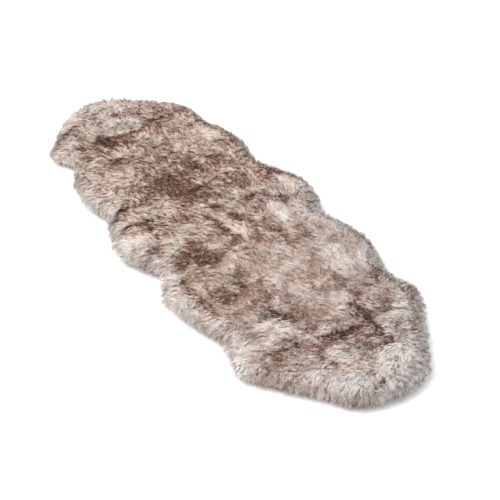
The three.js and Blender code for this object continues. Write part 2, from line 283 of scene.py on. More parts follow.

# Patches of browner wool, part by part of the rug, as soft ellipses: the middle's x and y, the
# long and the short radius, all in millimetres, the long one's turn in degrees from +X towards
# +Y, and how much browner the wool is. They are partly the wool's own brown and partly painted
# shade where hollows, folds and rims lie in shade.
BROWN_AND_SHADE_PATCHES = {
    "far end": [
        (60, 820, 50, 28, -35, 0.28), (58, 770, 22, 30, 0, 0.24), (125, 762, 56, 22, -50, 0.22),
        (-8, 730, 22, 30, 0, 0.4), (55, 719, 62, 22, 0, 0.2), (48, 702, 20, 30, 20, 0.1),
    ],
    "neck flap": [
        (-166, 721, 22, 34, -20, 0.24), (-238, 689, 78, 17, 50, 0.26), (-272, 652, 26, 20, 30, 0.24),
        (-196, 592, 26, 14, 20, 0.28), (-240, 541, 26, 20, 0, 0.6),
    ],
    "crest past the neck": [
        (150, 671, 28, 42, 0, 0.35), (210, 636, 40, 30, 0, 0.3), (-125, 626, 24, 16, 0, 0.45),
    ],
    "neck": [
        (120, 621, 50, 30, 10, 0.24), (20, 606, 40, 14, -10, 0.25), (45, 606, 60, 20, 0, 0.16),
        (140, 606, 34, 24, 0, 0.2), (-100, 605, 52, 34, 10, 0.5), (232, 600, 18, 30, 0, 0.25),
        (-178, 599, 50, 24, 30, 0.32), (-5, 598, 44, 16, 0, 0.22), (-105, 571, 20, 30, 0, 0.3),
        (-108, 562, 24, 26, 0, 0.35), (-50, 562, 44, 20, 58, 0.45), (70, 550, 26, 30, 0, 0.4),
    ],
    "breast, left": [
        (-158, 532, 40, 26, 0, 0.3), (-228, 531, 46, 24, 50, 0.3), (-146, 466, 46, 20, 0, 0.66),
        (-280, 450, 24, 18, 20, 0.58), (-155, 441, 32, 22, 30, 0.28), (-285, 436, 15, 50, 0, 0.2),
    ],
    "breast, middle": [
        (-30, 516, 18, 20, 0, 0.3), (0, 471, 38, 22, 0, 0.2),
    ],
    "breast, right": [
        (185, 539, 44, 22, 0, 0.1), (248, 521, 14, 60, 10, 0.24), (244, 462, 18, 24, 0, 0.1),
    ],
    "ribs, left": [
        (-290, 331, 12, 34, 0, 0.4),
    ],
    "ribs, middle": [
        (-50, 386, 42, 50, 0, 0.2), (30, 385, 44, 24, 0, 0.22), (-75, 381, 32, 32, 0, 0.2),
        (22, 373, 34, 50, 0, 0.22), (-40, 336, 28, 20, 0, 0.05), (-92, 320, 20, 26, 0, 0.32),
        (70, 301, 28, 34, 0, 0.34), (60, 291, 35, 25, 0, 0.35), (22, 288, 22, 34, 0, 0.22),
        (-35, 271, 20, 24, 0, 0.25), (-54, 256, 62, 52, 0, 0.62), (70, 253, 18, 42, -10, 0.28),
    ],
    "ribs, right": [
        (232, 352, 30, 26, 0, 0.24), (284, 338, 14, 34, 0, 0.28), (272, 301, 16, 96, 0, 0.26),
        (158, 296, 28, 46, 0, 0.32), (150, 291, 26, 22, 0, 0.25), (112, 268, 26, 20, 40, 0.15),
    ],
    "far waist, left": [
        (-160, 228, 18, 34, -30, 0.5), (-250, 217, 50, 13, 25, 0.22), (-148, 211, 38, 16, 67, 0.25),
        (-172, 200, 20, 20, 0, 0.2), (-300, 182, 26, 15, 10, 0.8), (-206, 124, 40, 13, -6, 0.34),
    ],
    "far waist, middle": [
        (92, 238, 22, 26, 0, 0.28), (-28, 189, 58, 36, -12, 0.64), (-65, 131, 22, 22, 0, 0.49),
        (-12, 129, 42, 28, -15, 0.25),
    ],
    "far waist, right": [
        (215, 231, 54, 14, -70, 0.2), (150, 127, 54, 22, -20, 0.25), (294, 124, 46, 22, -40, 0.8),
    ],
    "hind legs, left": [
        (-215, 109, 14, 30, 0, 0.3), (-205, 86, 28, 18, 0, 0.28), (-246, 82, 24, 18, 0, 0.5),
        (-118, 73, 36, 22, 0, 0.35), (-280, -17, 40, 12, 15, 0.35), (-280, -30, 24, 24, 0, 0.28),
        (-170, -35, 44, 18, 0, 0.22), (-322, -42, 36, 15, -45, 0.4),
    ],
    "hind legs, middle": [
        (-75, 110, 24, 40, 30, 0.2), (42, 104, 46, 30, 20, 0.3), (0, 56, 20, 24, 0, 0.55),
        (-106, 42, 16, 24, 0, 0.1), (-40, 1, 18, 44, 0, 0.24), (35, -24, 16, 28, 0, 0.57),
        (20, -26, 15, 20, 0, 0.5), (-34, -49, 13, 46, 0, 0.34),
    ],
    "hind legs, right": [
        (170, 111, 36, 22, 0, 0.35), (238, 96, 36, 14, 48, 0.3), (125, 27, 70, 18, 0, 0.15),
        (205, -11, 60, 17, -20, 0.34), (140, -15, 36, 26, 0, 0.3), (214, -30, 22, 18, 0, 0.34),
    ],
    "rump, left": [
        (-182, -85, 56, 30, 15, 0.44), (-196, -132, 22, 16, 0, 0.32), (-250, -139, 34, 42, 0, 0.3),
        (-148, -145, 66, 24, 0, 0.42), (-150, -149, 34, 24, 0, 0.2), (-156, -184, 20, 18, 0, 0.3),
    ],
    "rump, middle": [
        (-100, -69, 26, 26, 0, 0.25), (55, -79, 20, 54, 0, 0.25), (24, -130, 26, 14, 0, 0.28),
        (92, -135, 46, 24, 0, 0.12), (40, -149, 24, 18, 0, 0.37), (102, -194, 18, 40, 0, 0.2),
    ],
    "rump, right": [
        (268, -77, 20, 44, 0, 0.22), (158, -176, 56, 20, -25, 0.26),
    ],
    "near flank, left": [
        (-282, -250, 16, 24, 0, 0.32), (-268, -254, 13, 84, 0, 0.3), (-230, -280, 13, 44, 0, 0.4),
        (-142, -292, 13, 22, 0, 0.7), (-205, -319, 56, 28, 0, 0.46), (-120, -349, 26, 46, 0, 0.18),
        (-276, -356, 16, 18, 0, 0.34), (-322, -389, 14, 60, 0, 0.3), (-140, -392, 50, 14, 0, 0.22),
    ],
    "near flank, middle": [
        (-110, -249, 26, 20, 0, 0.25), (75, -319, 46, 26, 0, 0.16), (-15, -359, 20, 18, 0, 0.3),
    ],
    "near flank, right": [
        (150, -214, 44, 13, 0, 0.35), (230, -292, 22, 18, 0, 0.28), (122, -371, 84, 24, 35, 0.2),
    ],
    "near waist, left": [
        (-290, -428, 24, 22, 0, 0.58), (-120, -469, 38, 18, -60, 0.62),
    ],
    "near waist, middle": [
        (25, -429, 18, 28, 0, 0.28), (108, -439, 18, 46, 0, 0.12), (80, -446, 36, 24, 40, 0.25),
        (-72, -493, 30, 28, 0, 0.42),
    ],
    "near waist, right": [
        (255, -418, 22, 24, 0, 0.1), (174, -424, 20, 16, 0, 0.3), (225, -479, 24, 20, 0, 0.3),
        (208, -488, 14, 18, 0, 0.42), (115, -504, 22, 36, 0, 0.34),
    ],
    "shoulders, left": [
        (-160, -554, 26, 18, 0, 0.65), (-212, -579, 42, 26, 0, 0.34), (-122, -591, 34, 18, 0, 0.1),
        (-265, -619, 46, 18, -20, 0.2), (-118, -622, 38, 12, 0, 0.25), (-262, -640, 70, 26, -55, 0.14),
    ],
    "shoulders, middle": [
        (-70, -559, 26, 20, 0, 0.25), (82, -605, 22, 56, 0, 0.5), (-20, -613, 50, 18, -6, 0.4),
        (-30, -629, 25, 12, 0, 0.35), (-70, -639, 54, 14, 0, 0.2), (10, -659, 22, 26, 0, 0.26),
    ],
    "shoulders, right": [
        (165, -564, 34, 18, 0, 0.3), (262, -589, 20, 40, -20, 0.34), (152, -592, 20, 28, 30, 0.24),
        (140, -628, 22, 16, 0, 0.42),
    ],
    "near end, left": [
        (-262, -669, 22, 80, 25, 0.16), (-120, -689, 14, 30, 0, 0.52), (-230, -727, 95, 14, -54, 0.3),
        (-165, -826, 40, 20, -50, 0.24), (-112, -856, 46, 24, 0, 0.4),
    ],
    "near end, middle": [
        (62, -680, 14, 26, 0, 0.34), (-46, -722, 14, 34, 20, 0.26), (75, -724, 24, 14, 0, 0.52),
        (30, -729, 54, 18, 0, 0.24), (-52, -798, 16, 16, 0, 0.7), (30, -850, 90, 26, 5, 0.14),
        (30, -877, 80, 16, 0, 0.16), (-20, -884, 22, 14, 0, 0.45),
    ],
    "near end, right": [
        (212, -687, 17, 60, -32, 0.26), (120, -789, 30, 26, 0, 0.45),
    ],
}

# Patches of paler wool, in the same way, and how much paler it is. They are partly the wool's
# own pale locks and partly painted light on slopes and rims that the lamp leaves in shade, as on
# the crest past the neck and the neck flap's foot.
PALE_AND_LIT_PATCHES = {
    "far end": [
        (-22, 803, 36, 34, 0, 0.45), (-150, 791, 24, 30, 0, 0.2), (28, 786, 44, 28, 40, 0.32),
        (-40, 782, 18, 36, 0, 0.55), (-155, 771, 22, 28, 0, 0.56), (65, 761, 42, 36, 0, 0.38),
        (-118, 716, 20, 60, -15, 0.15), (-35, 711, 50, 13, 80, 0.25),
    ],
    # The palest at the flap's foot are painted light on a rim that lies in shade
    "neck flap": [
        (-206, 671, 18, 32, -30, 0.3), (-215, 646, 24, 24, 0, 0.25), (-285, 593, 34, 56, 0, 0.24),
        (-200, 566, 18, 28, 0, 0.2), (-288, 562, 18, 26, 0, 1), (-296, 548, 18, 22, 0, 0.8),
        (-270, 543, 26, 34, 0, 0.4),
    ],
    # The palest here are painted light on the crest, which the lamp leaves grey
    "crest past the neck": [
        (172, 681, 28, 36, 0, 0.05), (-22, 656, 46, 34, -10, 0.75), (158, 649, 46, 15, 55, 0.24),
        (-142, 645, 22, 20, 0, 0.35), (-4, 645, 44, 18, 0, 0.95), (38, 645, 34, 16, 0, 0.3),
        (-60, 641, 28, 20, 0, 0.58), (-40, 640, 26, 13, 0, 0.4), (6, 636, 26, 16, 0, 1.04),
    ],
    "neck": [
        (122, 622, 18, 26, -30, 0.28), (142, 560, 26, 22, 0, 0.25), (14, 552, 24, 22, 0, 0.28),
    ],
    "breast, left": [
        (-200, 493, 40, 22, 0, 0.3), (-112, 484, 20, 24, 0, 0.58),
    ],
    "breast, middle": [
        (-78, 526, 24, 26, 0, 0.26), (28, 512, 26, 34, 0, 0.24), (80, 448, 20, 22, 0, 0.3),
    ],
    "breast, right": [
        (180, 530, 30, 34, 0, 0.2), (208, 456, 34, 14, -73, 0.3), (216, 429, 42, 50, -20, 0.52),
    ],
    "ribs, left": [
        (-222, 381, 88, 56, 0, 0.22), (-312, 351, 14, 60, 0, 0.4), (-330, 318, 14, 90, 0, 0.22),
        (-150, 318, 46, 20, 0, 0.2), (-240, 281, 32, 28, 0, 0.42),
    ],
    "ribs, middle": [
        (-38, 392, 26, 22, 0, 0.15), (-62, 352, 24, 30, 0, 0.22), (105, 311, 20, 18, 0, 0.35),
        (98, 300, 20, 40, 0, 0.3),
    ],
    "ribs, right": [
        (120, 391, 44, 24, -45, 0.12), (188, 318, 22, 24, 0, 0.28),
    ],
    "far waist, left": [
        (-305, 236, 26, 28, 0, 1), (-138, 182, 26, 16, 30, 0.35), (-208, 177, 34, 17, 0, 0.34),
        (-300, 158, 30, 12, 30, 0.3), (-175, 158, 44, 20, 40, 0.35), (-272, 150, 44, 10, 6, 0.3),
        (-112, 141, 30, 30, 0, 0.28),
    ],
    "far waist, middle": [
        (60, 239, 14, 44, -10, 0.1), (45, 203, 44, 14, -10, 0.35),
    ],
    "far waist, right": [
        (152, 202, 16, 20, 0, 0.3),
    ],
    "hind legs, left": [
        (-290, 116, 36, 10, 10, 0.3), (-336, 111, 14, 46, 0, 0.05), (-345, 45, 18, 50, 0, 0.3),
        (-300, 44, 56, 50, 10, 0.44), (-180, -11, 62, 22, 15, 0.4), (-220, -44, 30, 18, 0, 0.4),
    ],
    "hind legs, middle": [
        (110, 86, 26, 18, 0, 0.25), (-42, 82, 20, 34, 0, 0.32), (20, 76, 20, 18, 0, 0.95),
        (60, 42, 20, 18, 0, 0.2), (46, 32, 18, 18, 0, 0.3), (-22, 25, 22, 20, 0, 0.34),
        (-95, -19, 24, 22, 0, 0.34), (64, -30, 18, 22, 0, 0.1), (-8, -36, 14, 50, 0, 0.42),
        (0, -59, 14, 42, 0, 0.22),
    ],
    "hind legs, right": [
        (270, 75, 20, 20, 0, 0.51), (150, 62, 44, 14, -20, 0.3), (290, 43, 28, 54, -10, 0.34),
        (330, 21, 14, 26, 0, 0.28),
    ],
    "rump, left": [
        (-285, -154, 26, 20, 0, 0.4), (-250, -168, 44, 16, 25, 0.45),
    ],
    "rump, middle": [
        (20, -76, 9, 26, -15, 0.4), (20, -77, 17, 34, -15, 0.56), (76, -91, 46, 13, 70, 0.24),
        (-100, -101, 20, 24, 0, 0.42), (60, -143, 24, 16, 0, 0.4), (-76, -165, 22, 22, 0, 0.5),
    ],
    "rump, right": [
        (166, -60, 20, 56, 0, 0.62), (167, -64, 12, 50, 0, 0.8), (240, -66, 24, 26, 0, 0.22),
        (165, -97, 20, 34, 0, 0.22), (226, -129, 26, 56, 0, 0.3), (130, -170, 18, 16, 0, 0.45),
        (192, -190, 16, 38, 0, 0.25),
    ],
    "near flank, left": [
        (-130, -205, 34, 16, 0, 0.15), (-330, -244, 14, 90, 0, 0.3), (-250, -249, 20, 26, 0, 0.3),
        (-165, -278, 16, 40, 0, 0.2), (-336, -292, 14, 44, 0, 0.47), (-246, -300, 12, 44, 0, 0.25),
        (-176, -302, 16, 26, 0, 0.4), (-150, -304, 22, 22, 0, 0.1), (-225, -309, 18, 28, 0, 0.28),
        (-248, -320, 26, 22, 30, 0.1),
    ],
    "near flank, middle": [
        (62, -231, 20, 26, 0, 0.24), (32, -232, 26, 26, 0, 0.24), (-78, -276, 22, 28, 0, 0.1),
        (20, -287, 60, 44, 0, 0.16), (-105, -304, 20, 22, 0, 0.2), (45, -304, 44, 16, 0, 0.25),
        (-55, -324, 16, 22, 0, 0.3), (60, -324, 20, 22, 0, 0.28), (26, -330, 22, 30, 0, 0.22),
        (-28, -341, 26, 34, 0, 0.4),
    ],
    "near flank, right": [
        (282, -200, 26, 58, 0, 0.35), (190, -269, 50, 40, 0, 0.15), (200, -299, 36, 18, 0, 0.15),
        (168, -310, 34, 44, -30, 0.1), (178, -330, 26, 36, -30, 0.2), (160, -381, 44, 54, 0, 0.42),
        (248, -394, 36, 16, 63, 0.25),
    ],
    "near waist, left": [
        (-112, -420, 16, 40, 0, 0.05), (-162, -487, 42, 44, 0, 0.66), (-285, -509, 42, 44, 0, 0.12),
    ],
    "near waist, middle": [
        (66, -416, 20, 20, 0, 0.61), (2, -427, 22, 50, 0, 0.5), (-100, -434, 18, 20, 0, 0.48),
        (66, -503, 32, 34, 0, 0.42),
    ],
    "near waist, right": [
        (228, -405, 18, 30, 0, 0.25), (296, -430, 16, 100, 0, 0.4), (130, -479, 42, 12, 20, 0.28),
    ],
    "shoulders, left": [
        (-140, -540, 24, 18, 0, 0.55), (-232, -546, 26, 20, 0, 0.45), (-170, -548, 36, 16, 0, 0.25),
        (-320, -559, 14, 44, 0, 0.25), (-188, -572, 34, 22, 0, 0.35), (-150, -639, 34, 22, 0, 0.24),
    ],
    "shoulders, middle": [
        (26, -552, 22, 16, 0, 0.3), (-30, -589, 32, 14, 0, 0.28), (-82, -591, 42, 13, 0, 0.3),
        (-60, -592, 22, 14, 0, 0.65),
    ],
    "shoulders, right": [
        (172, -548, 26, 26, 0, 0.28), (280, -549, 14, 26, 0, 0.58), (118, -578, 24, 20, 0, 0.5),
        (235, -589, 28, 13, 0, 0.3), (190, -622, 18, 16, 0, 0.6), (150, -645, 50, 16, -20, 0.47),
    ],
    "near end, left": [
        (-155, -709, 30, 24, 0, 0.45), (-240, -719, 22, 20, 0, 0.33),
    ],
    "near end, middle": [
        (-92, -672, 24, 24, 0, 0.42), (100, -679, 14, 34, 0, 0.33), (32, -700, 20, 16, 0, 0.2),
        (-58, -706, 42, 20, 0, 0.35), (-62, -722, 18, 30, 20, 0.24), (-100, -764, 80, 36, 0, 0.32),
        (55, -779, 60, 45, 0, 0.42), (52, -782, 26, 14, 30, 0.5), (45, -784, 46, 28, 45, 0.44),
        (48, -784, 72, 44, 12, 0.5), (84, -790, 48, 14, 25, 0.25), (-95, -794, 50, 25, 0, 0.45),
        (-28, -810, 22, 12, 0, 0.64), (-102, -830, 26, 16, 30, 0.28), (-30, -844, 28, 14, 30, 0.28),
    ],
    "near end, right": [
        (226, -668, 20, 40, -30, 0.25), (115, -700, 50, 14, 0, 0.22),
    ],
}

# Where single hairs and thin tufts reach out past the rim: the place, how far around it and
# how far they reach, in millimetres.
WISPS = table(
    "x y around reach",
    [
        ("neck flap", -296, 591, 60, 14),
        ("flap foot", -270, 526, 30, 7),
        ("left flank", -320, 311, 110, 11),
        ("left waist", -310, 186, 40, 8),
        ("left hind leg", -345, 41, 80, 10),
        ("left leg foot", -335, -49, 30, 20),
        ("seam notch", -300, -150, 34, 46),
        ("near left flank", -340, -200, 40, 30),
        ("near left fringe", -335, -319, 90, 7),
        ("near notch", -300, -499, 60, 12),
        ("near left corner", -325, -579, 60, 34),
        ("far end", 0, 861, 190, 20),
    ],
)

# How brown and how warm in colour the rim is, by the heading that it faces, in degrees turned
# from +X towards +Y. The brown is partly the rim wool's own and partly painted light and shade:
# darkest on the right and at the near end, which lie in shade, and palest on the left, which faces the
# lamp.
RIM_TONES_AND_SHADE = table(
    "heading tone warmth",
    [
        ("near right", -76, 0.33, 0.06),
        ("right of the near end", -34, 0.50, 0.12),
        ("right", 8, 0.68, 0.52),
        ("far right", 35, 0.66, 0.58),
        ("far end, right", 56, 0.34, 0.70),
        ("far end, left", 76, 0.22, 0.55),
        ("far left", 104, 0.22, 0.58),
        ("left, far side", 146, 0.22, 0.60),
        ("left", 188, 0.10, 0.54),
        ("near left", 215, 0.34, 0.56),
        ("near end", 236, 0.50, 0.24),
        ("near end, right", 258, 0.30, 0.08),
    ],
)

# How brown and how warm in colour the wool is along the middle of the rug, before the patches
SPINE_TONES = table(
    "y tone warmth",
    [
        ("near end", -860, 0.57, 0.44),
        ("near brow", -790, 0.57, 0.52),
        ("near shoulder", -600, 0.54, 0.70),
        ("near waist", -450, 0.54, 0.72),
        ("near flank", -250, 0.54, 0.78),
        ("seam", -110, 0.52, 0.85),
        ("far hind leg", 60, 0.52, 0.88),
        ("far waist", 240, 0.54, 1.08),
        ("far ribs", 400, 0.54, 1.02),
        ("neck", 580, 0.52, 0.98),
        ("far brow", 740, 0.52, 0.74),
        ("far end", 870, 0.52, 0.62),
    ],
)

random = np.random.default_rng(RANDOM_SEED)


# Small helpers for arrays of points and for triangles

def unit(vectors):
    return vectors / np.maximum(np.linalg.norm(vectors, axis=-1, keepdims=True), 1e-9)


def along(start, end, share):
    return start + (end - start) * share


def soft_step(values, low, high):
    share = np.clip((values - low) / (high - low), 0, 1)
    return share * share * (3 - 2 * share)


def soft_spot(points, row, reach):
    """How near points are to the place of a table's row: 1 there, and little past its reach."""
    away = np.hypot(points[:, 0] - row["x"] * MM, points[:, 1] - row["y"] * MM)
    return np.exp(-((away / (row[reach] * MM)) ** 2))


def turned(ways, angles):
    cosine, sine = np.cos(angles), np.sin(angles)
    x, y = ways[:, 0], ways[:, 1]
    return np.stack([x * cosine - y * sine, x * sine + y * cosine, ways[:, 2]], axis=1)


def on_heading(headings):
    return np.stack([np.cos(headings), np.sin(headings), headings * 0], axis=-1)


def distance_to_line(points, start, end):
    way = end - start
    share = np.clip(((points - start) @ way) / (way @ way), 0, 1)
    return np.linalg.norm(points - start - share[:, None] * way, axis=1)


def smoothed(values, reach=3):
    """The running mean of values along a line, over so many on either side."""
    kernel = np.ones(2 * reach + 1) / (2 * reach + 1)
    return np.convolve(np.pad(values, reach, mode="edge"), kernel, "valid")


def tree_of(points):
    tree = KDTree(len(points))
    for number, point in enumerate(points):
        tree.insert(point, number)
    tree.balance()
    return tree


def sides_of(triangles):
    """The sides of the triangles, each as two numbers of points, with the lower one first."""
    sides = [triangles[:, [0, 1]], triangles[:, [1, 2]], triangles[:, [2, 0]]]
    return np.sort(np.concatenate(sides), axis=1)


def face_normals(points, triangles):
    """A normal for each face, twice as long as the face is large."""
    a, b, c = (points[triangles[:, k]] for k in range(3))
    return np.cross(b - a, c - a)


def smooth_normals(points, triangles):
    """Normals at the points, each the mean of the faces around it but for the sewn end's."""
    normals = np.zeros_like(points)
    areas = face_normals(points, triangles) * ~on_seam(points, triangles)[:, None]
    for corner in range(3):
        np.add.at(normals, triangles[:, corner], areas)
    return unit(normals)


class Waves:
    """A smooth random height over X and Y, of spread 1, made of plane waves near a wavelength.
    Waves that keep near one heading, in degrees, make streaks across it."""

    def __init__(self, wavelength, heading=0.0, spread=180.0, count=18):
        ways = np.radians(heading + random.uniform(-spread, spread, count))
        numbers = 2 * math.pi / (wavelength * random.uniform(0.75, 1.35, count))
        self.numbers = np.stack([numbers * np.cos(ways), numbers * np.sin(ways)])
        self.phases = random.uniform(0, 2 * math.pi, count)

    def __call__(self, points):
        angles = points[:, :2] @ self.numbers + self.phases
        return np.cos(angles).sum(axis=1) * math.sqrt(2 / len(self.phases))


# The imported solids

def solid_shape(node, merge=0.02 * MM):
    """A CAD solid's points, merged where they meet, and its triangles."""
    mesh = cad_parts[node].data
    mesh.calc_loop_triangles()
    points = np.zeros(len(mesh.vertices) * 3)
    mesh.vertices.foreach_get("co", points)
    triangles = np.zeros(len(mesh.loop_triangles) * 3, np.int32)
    mesh.loop_triangles.foreach_get("vertices", triangles)
    points = points.reshape(-1, 3)
    rounded = np.round(points / merge)
    first, merged = np.unique(rounded, axis=0, return_index=True, return_inverse=True)[1:]
    return points[first], merged.reshape(-1)[triangles].reshape(-1, 3)


shapes = {node: solid_shape(node) for node in ("pelt_near", "pelt_far")}
seam_along = (shapes["pelt_near"][0][:, 1].max() + shapes["pelt_far"][0][:, 1].min()) / 2


def at_seam(points):
    return np.abs(points[..., 1] - seam_along) < 0.5 * MM


def on_seam(points, triangles):
    """Which faces lie in the sewn end of a pelt."""
    return at_seam(points[triangles]).all(axis=1)


def woolly(points, triangles):
    """Which faces carry wool: all but the sewn end's and those on the floor."""
    on_floor = (points[triangles][:, :, 2] < 0.2 * MM).all(axis=1)
    return ~(on_seam(points, triangles) | on_floor)


def outline_sides(points, triangles):
    """The edges between the faces that look up and those that look down, as pairs of points."""
    faces = triangles[~on_seam(points, triangles)]
    sides = sides_of(faces)
    looks_up = np.tile(face_normals(points, faces)[:, 2] > 0, 3)
    above = {tuple(side) for side in sides[looks_up]}
    below = {tuple(side) for side in sides[~looks_up]}
    return np.array(sorted(above & below))


def spaced_outline(node, step=2 * MM):
    """Points along the outline of a pelt's wool, close together."""
    points, triangles = shapes[node]
    ends = points[outline_sides(points, triangles)]
    lengths = np.linalg.norm(ends[:, 1] - ends[:, 0], axis=1)
    found = []
    for (start, end), length in zip(ends, lengths):
        shares = np.linspace(0, 1, max(2, math.ceil(length / step)), endpoint=False)
        found.append(along(start, end, shares[:, None]))
    return np.concatenate(found)


outline = np.concatenate([spaced_outline(node) for node in shapes])
outline[:, 2] = 0
outline_tree = tree_of(outline)


def inside_by(points):
    """How far each point is from the outline of the rug, on the floor's plane."""
    return np.array([outline_tree.find((x, y, 0))[2] for x, y in points[:, :2]])


# How the fleece lies and how brown it is at any place

def crease_share(points, crease):
    start = np.array([crease["x0"], crease["y0"]]) * MM
    end = np.array([crease["x1"], crease["y1"]]) * MM
    away = distance_to_line(points[:, :2], start, end) / (crease["reach"] * MM)
    return np.exp(-away * away)


def crease_drop(points):
    return np.max([crease_share(points, crease) * crease["drop"] * MM for crease in CREASES], axis=0)


# How much darker the creases show: partly brown tips seen edge-on, partly painted shade
def crease_brown_and_shade(points):
    return np.max([crease_share(points, crease) ** 2 * crease["dark"] for crease in CREASES], axis=0)


def along_creases(points, way):
    """The way the wool lies, turned to run along the creases where it is in one."""
    drawn = way.copy()
    for crease in CREASES:
        line = unit(np.array([crease["x1"] - crease["x0"], crease["y1"] - crease["y0"], 0.0]))
        agrees = np.where(way @ line < 0, -1.0, 1.0)
        drawn += CREASE_PULL * (crease_share(points, crease) * agrees)[:, None] * line
    return unit(drawn)


# Random heights over the rug; the heading is the photograph's line of sight, in degrees
LINE_OF_SIGHT = 56
MOUNDS = Waves(64 * MM)
TUFTS = Waves(24 * MM)
DASHES = Waves(20 * MM, heading=LINE_OF_SIGHT, spread=32)
BROAD_SWIRL = Waves(120 * MM)
FINE_SWIRL = Waves(45 * MM)
LEANING = Waves(60 * MM)
STREAKS = Waves(17 * MM, heading=LINE_OF_SIGHT, spread=34)
WARMING = Waves(90 * MM)
FRINGE = Waves(21 * MM)


def dash_share(points):
    """Short partings across the view, more of them in the far pelt."""
    least = along(*DASHES_OVER, soft_step(points[:, 1], *DASHES_GROW))
    return soft_step(DASHES(points) - least, 0, DASH_SOFTNESS)


def relief(points, crease_depth=1.0):
    """How far the wool stands above the solid's own form: low mounds, tufts and creases."""
    rise = MOUND_HEIGHT * MOUNDS(points) + TUFT_HEIGHT * TUFTS(points)
    return rise - DASH_DROP * dash_share(points) - crease_depth * crease_drop(points)


def relief_slope(points, step=2 * MM):
    here = relief(points)
    ways = np.eye(3)[:2] * step
    return np.stack([(relief(points + way) - here) / step for way in ways] + [here * 0], axis=1)


def patch_tone(points, patches):
    tone = np.zeros(len(points))
    for x, y, long_radius, short_radius, turn, strength in sum(patches.values(), []):
        way = on_heading(np.radians(turn))[:2]
        from_middle = points[:, :2] - np.array([x, y]) * MM
        first = from_middle @ way / (long_radius * MM)
        second = from_middle @ np.array([-way[1], way[0]]) / (short_radius * MM)
        away = first * first + second * second
        tone += strength * np.exp(-PATCH_FALL * away * (1 + away))
    return tone


def wisp_reach(points, least=2.0):
    reach = np.full(len(points), least)
    for wisp in WISPS:
        reach = np.maximum(reach, wisp["reach"] * soft_spot(points, wisp, "around"))
    return reach * MM * (1 - soft_step(inside_by(points), *WISPS_BEGIN))


def flow(points):
    """The horizontal way that the wool lies and its lean from upright, from the table."""
    way = np.zeros((len(points), 3))
    lean = np.zeros(len(points))
    total = np.zeros(len(points))
    for row in FLOWS:
        weight = soft_spot(points, row, "reach")
        way += weight[:, None] * on_heading(np.radians(row["heading"]))
        lean += weight * math.radians(row["lean"])
        total += weight
    return unit(way), lean / total


def outward(points, normals):
    """The horizontal way out: where the rim slopes to, and elsewhere away from the spine."""
    spine = np.clip(points[:, 1], *SPINE_ENDS)
    away = np.stack([points[:, 0], points[:, 1] - spine, np.zeros(len(points))], axis=1)
    return unit(normals * np.array([1, 1, 0]) + SPINE_PULL * unit(away))


def calm_flank(points):
    """How far a place is in the near flank, where the wool is most even."""
    along_flank = 1 - soft_step(np.abs(points[:, 1] - FLANK_MIDDLE), *FLANK_FADES)
    return soft_step(points[:, 0], *FLANK_BEGINS) * along_flank


# Meshes made from arrays

def link(name, data):
    thing = bpy.data.objects.new(name, data)
    bpy.context.scene.collection.objects.link(thing)
    return thing


def new_object(name, points, faces, material):
    mesh = bpy.data.meshes.new(name)
    mesh.from_pydata(points.tolist(), [], [list(face) for face in faces])
    mesh.materials.append(material)
    mesh.polygons.foreach_set("use_smooth", np.ones(len(mesh.polygons), bool))
    return link(name, mesh)


def add_piece(piece):
    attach(piece, "root")
    return piece


# Materials

def new_material(name, roughness):
    material = bpy.data.materials.new(name)
    material.use_nodes = True
    shader = material.node_tree.nodes["Principled BSDF"]
    shader.inputs["Roughness"].default_value = roughness
    shader.inputs["Specular IOR Level"].default_value = 0.25
    return material, material.node_tree, shader


def linear(red, green, blue):
    """A colour given as it shows on a screen, from 0 to 255, in the renderer's own values."""
    def one(value):
        share = value / 255
        return share / 12.92 if share <= 0.04045 else ((share + 0.055) / 1.055) ** 2.4
    return (one(red), one(green), one(blue), 1.0)


def add_node(tree, kind, inputs=(), **settings):
    node = tree.nodes.new(kind)
    for name, value in settings.items():
        setattr(node, name, value)
    for socket, value in dict(inputs).items():
        if isinstance(value, bpy.types.NodeSocket):
            tree.links.new(value, node.inputs[socket])
        else:
            node.inputs[socket].default_value = value
    return node


def add_ramp(tree, value, stops):
    ramp = add_node(tree, "ShaderNodeValToRGB", {"Fac": value})
    elements = ramp.color_ramp.elements
    while len(elements) < len(stops):
        elements.new(0.5)
    for element, (place, colour) in zip(elements, stops):
        element.position = place
        element.color = linear(*colour)
    return ramp.outputs["Color"]


def maths(tree, operation, *values):
    return add_node(tree, "ShaderNodeMath", enumerate(values), operation=operation).outputs[0]


def mix_colour(tree, share, first, second, blend="MIX"):
    sockets = {0: share, 6: first, 7: second}
    return add_node(tree, "ShaderNodeMix", sockets, data_type="RGBA", blend_type=blend).outputs[2]


def add_texture(tree, kind, scale, **inputs):
    """A texture's value in the piece's own coordinates."""
    place = add_node(tree, "ShaderNodeTexCoord")
    inputs.update(Vector=place.outputs["Object"], Scale=scale)
    return add_node(tree, kind, inputs).outputs["Fac"]


def add_bump(tree, shader, height, strength, distance):
    inputs = {"Height": height, "Strength": strength, "Distance": distance}
    bump = add_node(tree, "ShaderNodeBump", inputs)
    tree.links.new(bump.outputs["Normal"], shader.inputs["Normal"])


